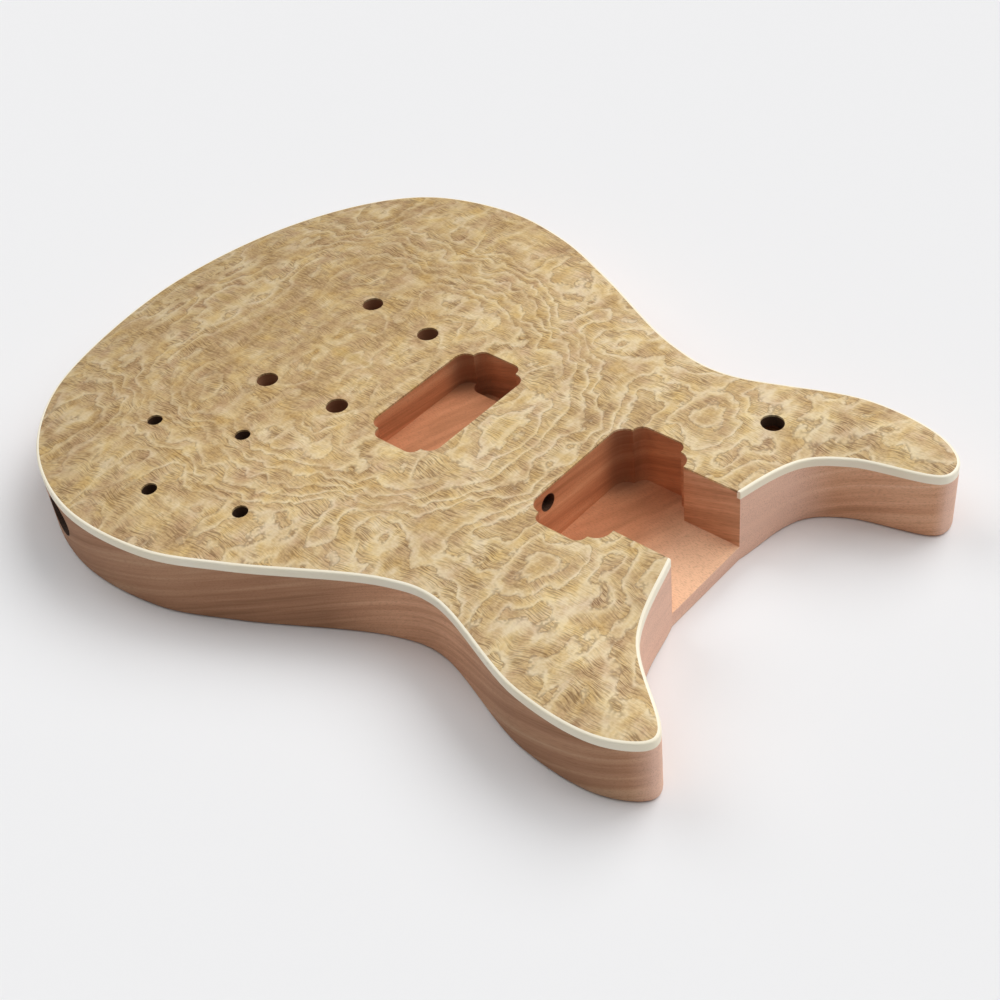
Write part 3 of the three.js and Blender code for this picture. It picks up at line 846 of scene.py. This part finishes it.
def painted_cavity_shade_and_scorch(tree, colour, at, flat):
    """Painted shade darkens the pickup cavities. The bass corner of each is darker still: partly a
    scorch where the cutter turns, partly painted shade."""
    # Full within 50 mm of the centre line, from behind the tail studs to the neck pocket
    aside = add(tree, "ShaderNodeMath", {0: at.outputs["X"]}, operation="ABSOLUTE").outputs[0]
    inside = add(tree, "ShaderNodeMapRange", {0: aside, 1: 50.0, 2: 60.0, 3: 1.0, 4: 0.0})
    for low, high, start, end in ((160.0, 185.0, 1.0, 0.0), (-90.0, -80.0, 0.0, 1.0)):
        part = add(tree, "ShaderNodeMapRange", {
            0: at.outputs["Y"], 1: low, 2: high, 3: start, 4: end})
        inside = add(tree, "ShaderNodeMath", {0: inside.outputs[0], 1: part.outputs[0]},
                     operation="MULTIPLY")
    # Painted shade over the pickup cavities
    colour = add(tree, "ShaderNodeMix", {
        0: inside.outputs[0], 6: colour, 7: linear("#F6E2D0")},
        data_type="RGBA", blend_type="MULTIPLY").outputs[2]
    # Partly a scorch, partly painted shade, in the bass corner of each pickup cavity
    for x, y, width, _ in (BRIDGE_PICKUP, NECK_PICKUP):
        corner = (x - PICKUP_LENGTH / 2, y - width / 2, 0.0)
        reach = add(tree, "ShaderNodeVectorMath", {0: flat, 1: corner}, operation="DISTANCE")
        scorch_and_shade = add(tree, "ShaderNodeMapRange", {
            0: reach.outputs["Value"], 1: 3.0, 2: 21.0, 3: 0.55, 4: 0.0},
            interpolation_type="SMOOTHSTEP")
        colour = add(tree, "ShaderNodeMix", {
            0: scorch_and_shade.outputs[0], 6: colour, 7: linear("#5A3826")}, data_type="RGBA").outputs[2]
    return colour


def painted_post_hole_shade(tree, colour, flat):
    """Painted shade darkens the walls of the post and stud holes."""
    for side in (-1, 1):
        for (x, y), radius in ((post_place(side), POST_R), (stud_place(side), STUD_R)):
            reach = add(tree, "ShaderNodeVectorMath", {0: flat, 1: (x, y, 0.0)},
                        operation="DISTANCE")
            dark = add(tree, "ShaderNodeMapRange", {
                0: reach.outputs["Value"], 1: radius + 0.2, 2: radius + 0.5, 3: 0.6, 4: 0.0})
            colour = add(tree, "ShaderNodeMix", {
                0: dark.outputs[0], 6: colour, 7: linear("#3C2820")},
                data_type="RGBA").outputs[2]
    return colour


def holes_with_painted_shade():
    """The narrow holes that get painted shade: the middle, direction, radius and half length of the
    pot, switch, wire and jack holes. The last two go a little beyond their wood, and the others
    through the whole body."""
    through, wire_half, jack_half = 60.0, 32.4, 34.0
    up, neckward = (0, 0, 1), (0, 1, 0)
    jack = (Vector(JACK_FROM) + Vector(JACK_TO)) / 2
    jack_way = (Vector(JACK_TO) - Vector(JACK_FROM)).normalized()
    between = (BRIDGE_PICKUP[1] + NECK_PICKUP[1]) / 2
    holes = [((x, y, 0), up, POT_R, through) for x, y in POTS]
    return holes + [((*SWITCH, 0), up, SWITCH_R, through),
                    ((WIRE_X, between, WIRE_Z), neckward, WIRE_R, wire_half),
                    ((*jack, JACK_Z), (*jack_way, 0), JACK_R, jack_half)]


def painted_hole_shade(tree, colour, place, at):
    """Painted shade darkens the walls of the narrow holes, though not the ledges in the back."""
    # The distance to the nearest of these walls starts well clear of them all
    nearest = 9.0
    for middle, way, radius, half in holes_with_painted_shade():
        offset = add(tree, "ShaderNodeVectorMath", {0: place, 1: middle}, operation="SUBTRACT")
        aside = add(tree, "ShaderNodeVectorMath", {0: offset.outputs[0], 1: way},
                    operation="CROSS_PRODUCT")
        aside = add(tree, "ShaderNodeVectorMath", {0: aside.outputs[0]}, operation="LENGTH")
        aside = add(tree, "ShaderNodeMath", {0: aside.outputs["Value"], 1: radius},
                    operation="SUBTRACT")
        along = add(tree, "ShaderNodeVectorMath", {0: offset.outputs[0], 1: way},
                    operation="DOT_PRODUCT")
        along = add(tree, "ShaderNodeMath", {0: along.outputs["Value"]}, operation="ABSOLUTE")
        along = add(tree, "ShaderNodeMath", {0: along.outputs[0], 1: half}, operation="SUBTRACT")
        away = add(tree, "ShaderNodeMath", {0: aside.outputs[0], 1: along.outputs[0]},
                   operation="MAXIMUM")
        nearest = add(tree, "ShaderNodeMath", {0: away.outputs[0], 1: nearest},
                      operation="MINIMUM").outputs[0]
    wall = add(tree, "ShaderNodeMapRange", {0: nearest, 1: 0.2, 2: 0.5, 3: 0.93, 4: 0.0})
    above = add(tree, "ShaderNodeMapRange", {0: at.outputs["Z"], 1: 3.0, 2: 4.0})
    wall = add(tree, "ShaderNodeMath", {0: wall.outputs[0], 1: above.outputs[0]},
               operation="MULTIPLY")
    return add(tree, "ShaderNodeMix", {
        0: wall.outputs[0], 6: colour, 7: linear("#2E201A")}, data_type="RGBA").outputs[2]


def mahogany_sanded():
    """Plain mahogany, sanded and bare: matt, with fine open pores. Painted light makes the faces
    towards the neck paler, and painted shade darkens the cavities and holes, with a scorch in two
    corners."""
    material, tree, out = new_material("mahogany_sanded")
    coordinates = add(tree, "ShaderNodeTexCoord").outputs
    place = add(tree, "ShaderNodeVectorMath", {
        0: coordinates["Object"], 3: 1 / MM}, operation="SCALE").outputs[0]
    at = add(tree, "ShaderNodeSeparateXYZ", {0: place})
    flat = add(tree, "ShaderNodeCombineXYZ", {0: at.outputs["X"], 1: at.outputs["Y"]}).outputs[0]
    wood = mahogany_patterns(tree, place)
    colour = mahogany_body(tree, wood, at.outputs["X"])
    # Painted light on the faces turned to the neck
    colour = painted_light_from_neck(tree, colour, at.outputs["Y"], coordinates["Normal"])
    # Painted shade in the pickup cavities, with a scorch in their bass corners
    colour = painted_cavity_shade_and_scorch(tree, colour, at, flat)
    # Painted shade in the post and stud holes
    colour = painted_post_hole_shade(tree, colour, flat)
    # Painted shade, nearly black, in the pot, switch, wire and jack holes
    colour = painted_hole_shade(tree, colour, place, at)
    pore = add(tree, "ShaderNodeValToRGB", {0: wood["pore"]}, stops=[(0.48, 0.0), (0.70, 0.30)])
    colour = add(tree, "ShaderNodeMix", {
        0: pore.outputs[0], 6: colour, 7: linear("#8E5E44")}, data_type="RGBA")
    bump = add(tree, "ShaderNodeBump", {
        "Height": pore.outputs[0], "Strength": 0.3, "Distance": -0.1 * MM})
    shader = add(tree, "ShaderNodeBsdfPrincipled", {
        "Base Color": colour.outputs[2], "Roughness": 0.66, "Specular IOR Level": 0.3,
        "Normal": bump.outputs[0]})
    tree.links.new(shader.outputs[0], out.inputs[0])
    return material


def cream_cellulose_binding_scraped():
    """Cellulose binding, scraped and sanded: an even cream with a soft satin sheen."""
    material, tree, out = new_material("cream_cellulose_binding_scraped")
    place = add(tree, "ShaderNodeTexCoord").outputs["Object"]
    # Haze 30 mm wide, and scraper marks, drawn 0.7 mm wide so that they show
    haze = add(tree, "ShaderNodeTexNoise", {
        "Vector": place, "Scale": 1 / (30 * MM), "Detail": 3.0})
    tone = add(tree, "ShaderNodeValToRGB", {0: haze.outputs[0]},
               stops=[(0.3, "#FAF0D6"), (0.7, "#FFF7E2")])
    scratch = add(tree, "ShaderNodeTexNoise", {
        "Vector": place, "Scale": 1 / (0.7 * MM), "Detail": 1.0})
    bump = add(tree, "ShaderNodeBump", {
        "Height": scratch.outputs[0], "Strength": 0.08, "Distance": 0.1 * MM})
    shader = add(tree, "ShaderNodeBsdfPrincipled", {
        "Base Color": tone.outputs[0], "Roughness": 0.42, "IOR": 1.48,
        "Normal": bump.outputs[0]})
    tree.links.new(shader.outputs[0], out.inputs[0])
    return material


def white_paper_sweep():
    """Matt white paper: plain and even, with no sheen."""
    material, tree, out = new_material("white_paper_sweep")
    shader = add(tree, "ShaderNodeBsdfDiffuse", {"Color": linear("#EFEFF0")})
    tree.links.new(shader.outputs[0], out.inputs[0])
    return material


# Build
make_camera()

core = cut(core_blank(), top_cutters() + back_cavity_cutters() + cover_screw_cutters()
           + bore_cutters())
core.name = "core_of_mahogany"
smooth(core, CORE_SHARP)
core.data.materials.clear()
core.data.materials.append(mahogany_sanded())
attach(core, "root")
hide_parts("mahogany_core")

veneer_material = figured_ash_veneer_sanded()
leaf_ring = inset(RIM, BINDING_WIDTH)
for side, hand in ((-1, "bass"), (1, "treble")):
    leaf = arched_slab(f"{hand}_leaf", half_ring(leaf_ring, side), 0.0, VENEER + GLUE_GAP,
                       LEAF_PITCH)
    leaf = cut(leaf, top_cutters())
    leaf.name = f"leaf_of_veneer_{hand}"
    smooth(leaf, THIN_SHARP)
    leaf.data.materials.clear()
    leaf.data.materials.append(veneer_material)
    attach(leaf, "root")
    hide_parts(f"veneer_{hand}")

binding_material = cream_cellulose_binding_scraped()
for side, hand in ((-1, "bass"), (1, "treble")):
    strip = binding_strip(f"strip_of_binding_{hand}", side)
    smooth(strip, THIN_SHARP)
    strip.data.materials.append(binding_material)
    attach(strip, "root")
    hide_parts(f"binding_{hand}")

# Table, light and backdrop
TABLE_EDGE = 9000.0
table = make_object("table", [(x * TABLE_EDGE, y * TABLE_EDGE, 0)
                              for x, y in ((-1, -1), (1, -1), (1, 1), (-1, 1))], [(0, 1, 2, 3)])
table.data.materials.append(white_paper_sweep())


def sun(name, direction, strength, angle):
    """A wide soft white source far away, shining along a direction."""
    lamp = bpy.data.lights.new(name, "SUN")
    lamp.energy = strength
    lamp.angle = math.radians(angle)
    holder = bpy.data.objects.new(name, lamp)
    holder.rotation_euler = Vector(direction).to_track_quat("-Z", "Y").to_euler()
    bpy.context.scene.collection.objects.link(holder)


# With the ambient light, the four light the level table at about 1
sun("softbox_overhead", (0.0, -0.18, -1.0), 0.69, 60)
sun("key_from_bass", (1.0, 0.0, -1.0), 1.29, 40)
sun("fill_from_neck_and_bass", (0.5, -0.5, -0.71), 0.75, 40)
sun("fill_from_tail", (0.0, 1.0, -1.0), 0.71, 40)

world = bpy.data.worlds.new("studio")
bpy.context.scene.world = world
world.use_nodes = True
world.node_tree.nodes.clear()
world_out = add(world.node_tree, "ShaderNodeOutputWorld")
path = add(world.node_tree, "ShaderNodeLightPath")
ambient = add(world.node_tree, "ShaderNodeBackground", {
    "Color": linear("#FFFFFF"), "Strength": 0.17})
backdrop = add(world.node_tree, "ShaderNodeBackground", {
    "Color": linear("#F0F0F0"), "Strength": 1.0})
chosen = add(world.node_tree, "ShaderNodeMixShader", {
    0: path.outputs["Is Camera Ray"], 1: ambient.outputs[0], 2: backdrop.outputs[0]})
world.node_tree.links.new(chosen.outputs[0], world_out.inputs[0])

bpy.context.scene.view_settings.view_transform = "Standard"
